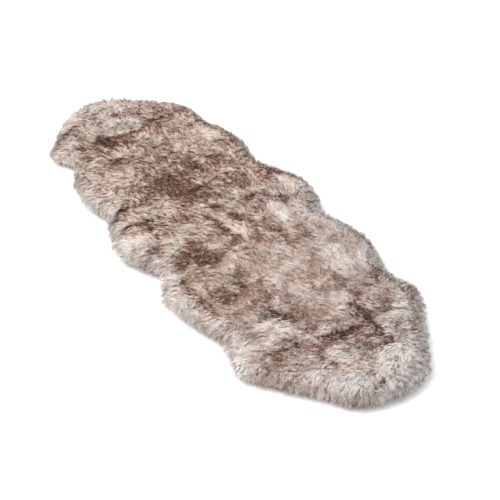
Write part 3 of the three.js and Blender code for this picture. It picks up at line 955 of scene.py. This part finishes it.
def wool_material():
    """Across its map a strand's place says how brown its tip is, painted shade included, and up each
    step of warmth it runs from root to tip. So the colours are the same wherever strands share a
    place."""
    material, tree, shader = new_material("wool", 0.62)
    place = add_node(tree, "ShaderNodeUVMap", uv_map="OFBake")
    parts = add_node(tree, "ShaderNodeSeparateXYZ", {"Vector": place.outputs["UV"]})
    dark = parts.outputs["X"]
    height = maths(tree, "MULTIPLY", parts.outputs["Y"], WARMTH_STEPS)
    warmth = maths(tree, "DIVIDE", maths(tree, "FLOOR", height), WARMTH_STEPS - 1)
    tip = mix_colour(tree, warmth, add_ramp(tree, dark, COOL_TIP), add_ramp(tree, dark, WARM_TIP))
    root = mix_colour(tree, warmth, add_ramp(tree, dark, COOL_ROOT), add_ramp(tree, dark, WARM_ROOT))
    begins = maths(tree, "MULTIPLY_ADD", dark, -DARK_TIPS_LONGER * DARKEST, TIP_BEGINS)
    ends = maths(tree, "ADD", begins, TIP_BLENDS)
    inputs = {"Value": maths(tree, "FRACT", height), "From Min": begins, "From Max": ends}
    share = add_node(tree, "ShaderNodeMapRange", inputs, interpolation_type="SMOOTHSTEP")
    tree.links.new(mix_colour(tree, share.outputs[0], root, tip), shader.inputs["Base Color"])
    return material


def undercoat_material():
    material, tree, shader = new_material("undercoat", 0.9)
    fluff = add_texture(tree, "ShaderNodeTexNoise", 160.0, Detail=4.0)
    # A mid brown, darker than the wool's roots: painted shade for the deep gaps between the locks
    colours = [(0.3, (146, 120, 104)), (0.5, (180, 158, 143)), (0.7, (205, 189, 177))]
    tree.links.new(add_ramp(tree, fluff, colours), shader.inputs["Base Color"])
    add_bump(tree, shader, fluff, 0.6, 4 * MM)
    return material


def hide_material():
    material, tree, shader = new_material("hide", 0.85)
    cloud = add_texture(tree, "ShaderNodeTexNoise", 9.0, Detail=5.0)
    nap = add_texture(tree, "ShaderNodeTexNoise", 900.0, Detail=3.0)
    colours = [(0.3, (198, 178, 150)), (0.55, (214, 197, 170)), (0.75, (226, 213, 190))]
    shades = [(0.3, (205, 205, 205)), (0.7, (255, 255, 255))]
    broad, fine = add_ramp(tree, cloud, colours), add_ramp(tree, nap, shades)
    tree.links.new(mix_colour(tree, 1.0, broad, fine, "MULTIPLY"), shader.inputs["Base Color"])
    add_bump(tree, shader, nap, 0.5, 0.4 * MM)
    return material


def thread_material():
    material, tree, shader = new_material("thread", 0.6)
    twist = add_texture(tree, "ShaderNodeTexWave", 900.0, Distortion=1.0)
    colours = [(0.2, (150, 132, 106)), (0.8, (190, 172, 142))]
    tree.links.new(add_ramp(tree, twist, colours), shader.inputs["Base Color"])
    return material


# The undercoat: the solid's own form, drawn in under the tips of the wool

def split_in_four(points, triangles):
    unique, inverse = np.unique(sides_of(triangles), axis=0, return_inverse=True)
    middles = len(points) + inverse.reshape(3, -1).T
    points = np.concatenate([points, points[unique].mean(axis=1)])
    a, b, c = triangles.T
    ab, bc, ca = middles.T
    corners = [(a, ab, ca), (b, bc, ab), (c, ca, bc), (ab, bc, ca)]
    return points, np.concatenate([np.stack(corner, axis=1) for corner in corners])


def add_undercoat(node, material):
    points, triangles = shapes[node]
    for _ in range(UNDERCOAT_SPLITS):
        points, triangles = split_in_four(points, triangles)
    normals = smooth_normals(points, triangles)
    clear_of_seam = soft_step(np.abs(points[:, 1] - seam_along), 0, SEWN_EDGE_REACH)
    rough = UNDERCOAT_RELIEF * relief(points) * clear_of_seam
    inner = points - normals * (UNDERCOAT_DEPTH - rough)[:, None]
    inner[:, 2] = np.maximum(inner[:, 2], HIDE_THICKNESS + UNDERCOAT_CLEARANCE)
    sewn = at_seam(points)
    inner[sewn] = points[sewn] * SEWN_EDGE_SHRINK
    piece = new_object(node.replace("pelt", "undercoat"), inner, triangles, material)
    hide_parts(node)
    return add_piece(piece)


# The fleece

def scatter(points, triangles, normals, count):
    """Places spread evenly over the faces, with the smooth normal at each."""
    areas = np.linalg.norm(face_normals(points, triangles), axis=1)
    ends = np.cumsum(areas) / areas.sum()
    face = np.searchsorted(ends, (np.arange(count) + random.random(count)) / count)
    face = np.minimum(face, len(triangles) - 1)
    first, second = random.random((2, count))
    over = first + second > 1
    first, second = np.where(over, 1 - first, first), np.where(over, 1 - second, second)
    shares = np.stack([1 - first - second, first, second], axis=1)[:, :, None]
    corners = triangles[face]
    return (points[corners] * shares).sum(axis=1), unit((normals[corners] * shares).sum(axis=1))


def thinned(places, spacing):
    """The numbers of places kept so that no two are nearer than the spacing."""
    cells = np.floor(places / spacing).astype(int)
    around = [(i, j, k) for i in (-1, 0, 1) for j in (-1, 0, 1) for k in (-1, 0, 1)]
    kept = {}
    chosen = []
    for number, (cell, place) in enumerate(zip(map(tuple, cells), places)):
        x, y, z = cell
        near = [kept[key] for key in ((x + i, y + j, z + k) for i, j, k in around) if key in kept]
        if all(((place - places[other]) ** 2).sum() > spacing * spacing for other in near):
            kept[cell] = number
            chosen.append(number)
    return np.array(chosen)


def leaning(normals, ways, lean):
    """The way a strand points: its normal, tipped over by its lean along its way, which
    hangs down where the wool turns over the rim."""
    hanging = ways - np.array([0, 0, RIM_HANG]) * (1 - normals[:, 2:3])
    tangent = unit(hanging - (hanging * normals).sum(axis=1, keepdims=True) * normals)
    upright = lean * along(RIM_LEAN, 1, np.clip(normals[:, 2], 0, 1))
    return unit(normals * np.cos(upright)[:, None] + tangent * np.sin(upright)[:, None])


class Locks:
    """The locks of the whole fleece: where each ends, how it leans and how brown it is, painted shade
    and light included.
    """

    def __init__(self):
        places, normals = [], []
        for shape in shapes.values():
            points, triangles = shape
            found = scatter(points, triangles[woolly(*shape)], smooth_normals(*shape), LOCK_TRIALS)
            places.append(found[0])
            normals.append(found[1])
        places, normals = np.concatenate(places), np.concatenate(normals)
        order = random.permutation(len(places))
        chosen = order[thinned(places[order], LOCK_SPACING)]
        self.places, self.normals, self.count = places[chosen], normals[chosen], len(chosen)
        self.tree = tree_of(self.places)
        self.comb()
        self.colour()

    def comb(self):
        """How the locks lean, how long they are and where their tips stand."""
        self.inside = inside_by(self.places)
        self.out = outward(self.places, self.normals)
        at_rim = 1 - soft_step(self.inside, *RIM_TURNS)
        on_top = (1 - at_rim) * np.clip(self.normals[:, 2], 0, 1)
        far_end = soft_step(self.places[:, 1], *FAR_END_LOOSE)
        self.loose = 1 - soft_step(self.inside - FAR_END_LOOSER * far_end, 0, RIM_LOOSE)
        way, lean = flow(self.places)
        way = self.comb_ways(way, at_rim)
        lean = lean + LEAN_SPREAD * LEANING(self.places)
        lean = np.clip(lean + random.normal(0, LEAN_SPREAD, self.count), *LEAN_LIMITS)
        slope = relief_slope(self.places) * on_top[:, None]
        self.normals = unit(self.normals - slope)
        self.direction = leaning(self.normals, way, lean)
        length = random.normal(1, LENGTH_SPREAD, self.count)
        self.length = STRAND_LENGTH * length.clip(*LOCK_LENGTH_LIMITS)
        self.gather = along(LOCK_GATHER, RIM_GATHER, at_rim)
        fringe = FRINGE(self.places)
        proud = random.normal(0, STAND_SPREAD, self.count) + relief(self.places, CREASE_FILL) * on_top
        proud -= RIM_DRAWN_IN * at_rim + (EDGE_DRAWN_IN + FRINGE_DEPTH * fringe) * self.loose
        tufted = (random.random(self.count) ** 2 + soft_step(fringe, *TUFTED_WISPS)) / 2
        wisps = self.direction * (wisp_reach(self.places) * tufted)[:, None]
        self.tips = self.places + self.normals * proud[:, None] + wisps

    def comb_ways(self, way, at_rim):
        """Turns the ways outwards at the rim, swirls them and lays them along the creases."""
        way = unit(along(way, OUTWARD_PULL * self.out, at_rim[:, None]))
        calm = along(NEAR_END_SWIRL, 1, soft_step(self.places[:, 1], *NEAR_END_CALM))
        swirl = BROAD_TURN * BROAD_SWIRL(self.places) + FINE_TURN * FINE_SWIRL(self.places)
        stray = random.normal(0, WAY_SPREAD, self.count) * along(0.4, 1, calm)
        return along_creases(self.places, turned(way, swirl * calm * (1 - 0.5 * at_rim) + stray))

    def colour(self):
        """How brown the locks are at their tips, painted shade and light included, how grainy that is
        and how warm.
        """
        x, y = self.places[:, 0], self.places[:, 1]
        heading = np.degrees(np.arctan2(self.out[:, 1], self.out[:, 0]))
        rim, inner = {}, {}
        # The rim's tone holds painted shade on the sides that lie in shade and painted light on the
        # left
        for column in ("tone", "warmth"):
            rim[column] = np.interp(heading, RIM_TONES_AND_SHADE["heading"], RIM_TONES_AND_SHADE[column], period=360)
            inner[column] = np.interp(y / MM, SPINE_TONES["y"], SPINE_TONES[column])
        middle = soft_step(self.inside, *RIM_COLOURED)
        calm = calm_flank(self.places)
        self.grain = LEAST_GRAIN + FAR_GRAIN * soft_step(y, *GRAIN_GROWS) - SPECKLE * calm
        self.tone = self.brownness_and_shade(along(rim["tone"], inner["tone"], middle), middle, calm)
        near_right = soft_step(x, *NEAR_RIGHT_BEGINS) * (1 - soft_step(y, *NEAR_RIGHT_ENDS))
        rim_warmth = rim["warmth"] * (1 - NEAR_RIGHT_RIM_LOSS * near_right)
        rim_warmth += FAR_RIM_WARMER * soft_step(y, *FAR_RIM_WARMS)
        self.warmth = along(rim_warmth, inner["warmth"] - NEAR_RIGHT_LOSS * near_right, middle)
        self.warmth += WARMING_SPREAD * WARMING(self.places)

    def brownness_and_shade(self, tone, middle, calm):
        """The tone with its patches, creases, partings, streaks and speckle; the patches, creases and
        partings carry painted shade and light as well as the wool's own brown.
        """
        ragged = self.places + random.normal(0, PATCH_RAGGED, (self.count, 3))
        # The patches hold painted shade and painted light as well as the wool's own brown and pale
        patches = patch_tone(ragged, BROWN_AND_SHADE_PATCHES) - patch_tone(ragged, PALE_AND_LIT_PATCHES)
        # The creases' darkening is partly brown tips and partly painted shade
        creases = crease_brown_and_shade(self.places)
        strength = PATCH_STRENGTH + PATCH_INNER_STRENGTH * middle - FLANK_PATCH_LOSS * calm
        tone = tone + patches * strength + creases * (1 - FLANK_CREASE_LOSS * calm)
        # The partings are darkened: painted shade in their gaps
        tone += DASH_SHADE * dash_share(self.places)
        tone += STREAK_DARK * np.clip(self.grain, 0.4, 1.1) * STREAKS(self.places)
        speckle = SPECKLE * self.grain * (0.4 + 1.3 * np.clip(tone, 0, 0.8))
        scale = 1 / math.sqrt(SPECKLE_SHAPE)
        skewed = random.gamma(SPECKLE_SHAPE, scale, self.count) - SPECKLE_SHAPE * scale
        tone += skewed * (speckle + RIM_SPECKLE * (1 - middle))
        # Past the darkest brown, the creases darken further as painted shade
        return np.minimum(tone, 1) + CREASE_PAINTED_SHADE * creases

    def nearest(self, points):
        return np.array([self.tree.find(point)[1] for point in points])


def strand_mesh(name, corners, normals, tone, step, material):
    """Flat strands, each of two triangles: a root, the left and right of its widest place and
    a tip. They are shaded by the way the fleece faces, so that they look soft."""
    count = len(tone)
    pattern = np.array([0, 2, 1, 1, 2, 3])
    mesh = bpy.data.meshes.new(name)
    mesh.vertices.add(count * 4)
    mesh.vertices.foreach_set("co", corners.reshape(-1).astype(np.float32))
    mesh.loops.add(count * 6)
    used = np.arange(count)[:, None] * 4 + pattern
    mesh.loops.foreach_set("vertex_index", used.reshape(-1).astype(np.int32))
    mesh.polygons.add(count * 2)
    mesh.polygons.foreach_set("loop_start", np.arange(0, count * 6, 3, dtype=np.int32))
    mesh.update(calc_edges=True)
    mesh.polygons.foreach_set("use_smooth", np.ones(count * 2, bool))
    sideways = np.array([0, -1, 1, 0]) * STRAND_MAP_WIDTH
    across = np.clip(tone / DARKEST, 0.01, 0.99)[:, None] + sideways
    up = (step[:, None] + np.array([0.02, WIDEST, WIDEST, 0.98])) / WARMTH_STEPS
    where = np.stack([across[:, pattern], up[:, pattern]], axis=-1)
    layer = mesh.uv_layers.new(name="OFBake")
    layer.data.foreach_set("uv", where.reshape(-1).astype(np.float32))
    mesh.normals_split_custom_set_from_vertices(np.repeat(normals, 4, axis=0).astype(np.float32))
    mesh.materials.append(material)
    return link(name, mesh)


def faces_between(node, low, high):
    """The woolly faces of a pelt on a stretch of the rug."""
    points, triangles = shapes[node]
    middles = points[triangles].mean(axis=1)[:, 1]
    return triangles[woolly(points, triangles) & (middles >= low) & (middles < high)]


def strand_ends(places, lock, locks):
    """The roots and tips of strands, gathered to the tips of their locks, and their ways."""
    count = len(places)
    loose = locks.loose[lock]
    stray = random.normal(0, STRAY_SPREAD, (count, 3)) * (1 + loose[:, None])
    direction = unit(locks.direction[lock] + stray)
    length = locks.length[lock] * random.normal(1, LENGTH_SPREAD, count).clip(*LENGTH_LIMITS)
    own_tip = places + (locks.tips[lock] - locks.places[lock])
    gather = np.clip(locks.gather[lock] + random.normal(0, GATHER_SPREAD, count), 0.1, 0.97)
    overshoot = random.normal(0, TIP_SPREAD, count) + loose * random.gamma(0.6, 3 * MM, count)
    tip = along(own_tip, locks.tips[lock], gather[:, None]) + direction * overshoot[:, None]
    root = own_tip - direction * length[:, None]
    lowest_tip = LEAST_HEIGHT + 1.5 * MM * random.random(count)
    root[:, 2] = np.clip(root[:, 2], HIDE_THICKNESS + LEAST_HEIGHT, GREATEST_HEIGHT)
    tip[:, 2] = np.clip(tip[:, 2], lowest_tip, GREATEST_HEIGHT)
    return root, tip, direction, length


def strand_corners(root, tip, direction, length, faces_out):
    """The four corners of each strand, which bows out of the fleece, and how it is shaded."""
    count = len(root)
    bend = (root + tip) / 2 + faces_out * (STRAND_BOW * length)[:, None]
    bend += random.normal(0, BEND_SPREAD, (count, 3))
    widest = root * (1 - WIDEST) ** 2 + bend * 2 * WIDEST * (1 - WIDEST) + tip * WIDEST ** 2
    widest[:, 2] = np.clip(widest[:, 2], LEAST_HEIGHT + 1 * MM, GREATEST_HEIGHT - 1 * MM)
    roll = random.normal(0, ROLL_SPREAD, count).clip(-1.1, 1.1)[:, None]
    flat = unit(np.cross(direction, faces_out))
    lengthwise = unit(tip - root)
    side = unit(flat * np.cos(roll) + np.cross(flat, lengthwise) * np.sin(roll))
    width = STRAND_WIDTH * random.normal(1, WIDTH_SPREAD, count).clip(0.5, 1.6)
    across = side * (width / 2)[:, None]
    shading = unit(faces_out + 0.5 * unit(np.cross(side, lengthwise)))
    return np.stack([root, widest - across, widest + across, tip], axis=1), shading


def strand_colours(lock, locks):
    """How brown each strand is, painted shade and light included, and which step of warmth it is on.
    """
    tone = locks.tone[lock]
    grain = locks.grain[lock] * (0.4 + np.clip(tone, 0, 1))
    tone = np.clip(tone + random.normal(0, TONE_SPREAD, len(lock)) * grain, 0, DARKEST)
    warmth = locks.warmth[lock] * (WARMTH_STEPS - 1) + random.normal(0, WARMTH_SPREAD, len(lock))
    return tone, np.clip(np.round(warmth), 0, WARMTH_STEPS - 1)


def add_fleece(name, node, faces, count, locks, material):
    places, _ = scatter(shapes[node][0], faces, smooth_normals(*shapes[node]), count)
    lock = locks.nearest(places)
    corners, shading = strand_corners(*strand_ends(places, lock, locks), locks.normals[lock])
    tone, step = strand_colours(lock, locks)
    return add_piece(strand_mesh(name, corners, shading, tone, step, material))


def add_fleeces(material):
    """The fleece's pieces, each with its share of the strands by its area."""
    locks = Locks()
    faces = [faces_between(*piece[1:]) for piece in FLEECE_PIECES]
    areas = [
        np.linalg.norm(face_normals(shapes[piece[1]][0], part), axis=1).sum()
        for piece, part in zip(FLEECE_PIECES, faces)
    ]
    for (name, node, _, _), part, area in zip(FLEECE_PIECES, faces, areas):
        add_fleece(name, node, part, int(STRANDS * area / sum(areas)), locks, material)


# The hides and their seam, which show from below

def outline_walk(node):
    """The pelt's outline, in order around it from one end of the seam to the other."""
    points, triangles = shapes[node]
    neighbours = {}
    for a, b in outline_sides(points, triangles):
        neighbours.setdefault(a, []).append(b)
        neighbours.setdefault(b, []).append(a)
    ends = [corner for corner, near in neighbours.items() if len(near) == 1]
    walk = [min(ends, key=lambda corner: points[corner, 0])]
    while True:
        onward = [corner for corner in neighbours[walk[-1]] if corner not in walk[-2:]]
        if not onward:
            return points[walk][:, :2]
        walk.append(onward[0])


def hide_outline(node):
    """The pelt's outline, drawn in to where the skin ends."""
    line = outline_walk(node)
    steps = np.concatenate([[0], np.cumsum(np.linalg.norm(np.diff(line, axis=0), axis=1))])
    even = np.arange(0, steps[-1], HIDE_OUTLINE_STEP)
    line = np.stack([np.interp(even, steps, line[:, k]) for k in range(2)], axis=1)
    ahead = np.gradient(line, axis=0)
    ahead = np.stack([smoothed(ahead[:, k]) for k in range(2)], axis=1)
    inward = unit(np.stack([ahead[:, 1], -ahead[:, 0]], axis=1))
    if ((line.mean(axis=0) - line) * inward).sum() < 0:
        inward = -inward
    return line + inward * HIDE_INSET


def hide_ring(node):
    """The skin's whole edge: the drawn-in outline and the straight side at the seam."""
    ring = hide_outline(node)
    side = 1 if node == "pelt_far" else -1
    edge = seam_along + side * SEAM_HALF_GAP
    ring = ring[(ring[:, 1] - edge) * side > 0]
    across = np.linspace(ring[-1, 0], ring[0, 0], HIDE_SEAM_POINTS)
    return np.concatenate([ring, np.stack([across, np.full(len(across), edge)], axis=1)])


def filled(ring):
    """The flat points and triangles that fill a ring, on a loose grid."""
    low, high = ring.min(axis=0), ring.max(axis=0)
    columns, rows = (np.arange(low[k], high[k], HIDE_GRID_STEP) for k in range(2))
    grid = np.stack(np.meshgrid(columns, rows), axis=-1).reshape(-1, 2)
    grid = grid + random.uniform(-0.25, 0.25, grid.shape) * HIDE_GRID_STEP
    places = [Vector(place) for place in np.concatenate([ring, grid])]
    found = delaunay_2d_cdt(places, [], [list(range(len(ring)))], 1, 1e-6)
    flat = np.array([(place.x, place.y) for place in found[0]])
    faces = np.array([face[:] for face in found[2]])
    first, second = (flat[faces[:, k]] - flat[faces[:, 0]] for k in (1, 2))
    areas = np.cross(first, second) / 2
    return flat, np.where((areas < 0)[:, None], faces[:, ::-1], faces), float(np.abs(areas).sum())


def add_hide(node, material):
    ring = hide_ring(node)
    flat, faces, area = filled(ring)
    under = np.column_stack([flat, np.full(len(flat), HIDE_HEIGHT)])
    under[:, 2] += HIDE_BUCKLE * Waves(40 * MM)(under).clip(-1, 1)
    top = under + np.array([0, 0, HIDE_THICKNESS])
    once, uses = np.unique(sides_of(faces), axis=0, return_counts=True)
    rim = {tuple(side) for side in once[uses == 1]}
    total = len(flat)
    all_faces = [list(face + total) for face in faces] + [list(face[::-1]) for face in faces]
    for a, b, c in faces:
        for start, end in ((a, b), (b, c), (c, a)):
            if (min(start, end), max(start, end)) in rim:
                all_faces.append([start + total, start, end, end + total])
    points = np.concatenate([under, top])
    piece = new_object(node.replace("pelt", "hide"), points, all_faces, material)
    return add_piece(piece)


def stitch(start, end):
    """The points and faces of one stitch, fullest in its middle."""
    way = unit(end - start)
    side = unit(np.cross(way, [0, 0, 1]))
    up = np.cross(side, way)
    points, faces = [], []
    for place in np.linspace(0, 1, STITCH_RINGS):
        radius = THREAD_RADIUS * (0.45 + 0.55 * math.sin(math.pi * place))
        for angle in np.arange(STITCH_SIDES) * 2 * math.pi / STITCH_SIDES:
            reach = radius * (side * math.cos(angle) + up * math.sin(angle))
            points.append(along(start, end, place) + reach)
    for ring in range(STITCH_RINGS - 1):
        for k in range(STITCH_SIDES):
            a = ring * STITCH_SIDES + k
            b = ring * STITCH_SIDES + (k + 1) % STITCH_SIDES
            faces.append([a, b, b + STITCH_SIDES, a + STITCH_SIDES])
    faces.append(list(range(STITCH_SIDES))[::-1])
    faces.append(list(range(len(points) - STITCH_SIDES, len(points))))
    return points, faces


def add_seam(material):
    """Overcast stitches across the two skins' meeting edges, on their underside."""
    points, faces = [], []
    for x in np.arange(-SEAM_HALF_WIDTH, SEAM_HALF_WIDTH, STITCH_SPACING):
        start = np.array([x, seam_along - STITCH_REACH, THREAD_RADIUS])
        end = start + np.array([STITCH_SPACING * STITCH_SLANT, 2 * STITCH_REACH, 0])
        own_points, own_faces = stitch(start, end)
        faces += [[corner + len(points) for corner in face] for face in own_faces]
        points += own_points
    return add_piece(new_object("seam_stitches", np.array(points), faces, material))


# The floor, the light and the camera

def pointing(heading, elevation):
    flat = math.cos(elevation)
    return Vector((flat * math.cos(heading), flat * math.sin(heading), math.sin(elevation)))


def add_stage(reach=12.0):
    material, _, shader = new_material("floor", 0.9)
    shader.inputs["Base Color"].default_value = (0.95, 0.95, 0.95, 1)
    corners = np.array([(-1, -1, 0), (1, -1, 0), (1, 1, 0), (-1, 1, 0)]) * reach
    new_object("floor", corners, [range(4)], material)


def add_light(name, heading, elevation, angle, power):
    lamp = bpy.data.lights.new(name, "SUN")
    lamp.angle = math.radians(angle)
    lamp.energy = power
    source = pointing(math.radians(heading), math.radians(elevation))
    link(name, lamp).rotation_euler = source.to_track_quat("Z", "Y").to_euler()


def add_world(strength):
    world = bpy.data.worlds.new("studio")
    world.use_nodes = True
    background = world.node_tree.nodes["Background"]
    background.inputs["Color"].default_value = (1, 1, 1, 1)
    background.inputs["Strength"].default_value = strength
    bpy.context.scene.world = world


def add_camera():
    lens = bpy.data.cameras.new("camera")
    lens.lens = CAMERA_LENS
    lens.sensor_width = CAMERA_SENSOR
    camera = link("camera", lens)
    away = pointing(CAMERA_HEADING, -CAMERA_ELEVATION)
    camera.location = CAMERA_TARGET - away * CAMERA_DISTANCE
    camera.rotation_euler = away.to_track_quat("-Z", "Y").to_euler()
    bpy.context.scene.camera = camera


add_camera()
add_stage()
add_world(1.1)
add_light("window", heading=142, elevation=52, angle=40, power=1.99)
bpy.context.scene.view_settings.view_transform = "Standard"

undercoat = undercoat_material()
for node in shapes:
    add_undercoat(node, undercoat)

hide = hide_material()
for node in shapes:
    add_hide(node, hide)
add_seam(thread_material())

add_fleeces(wool_material())
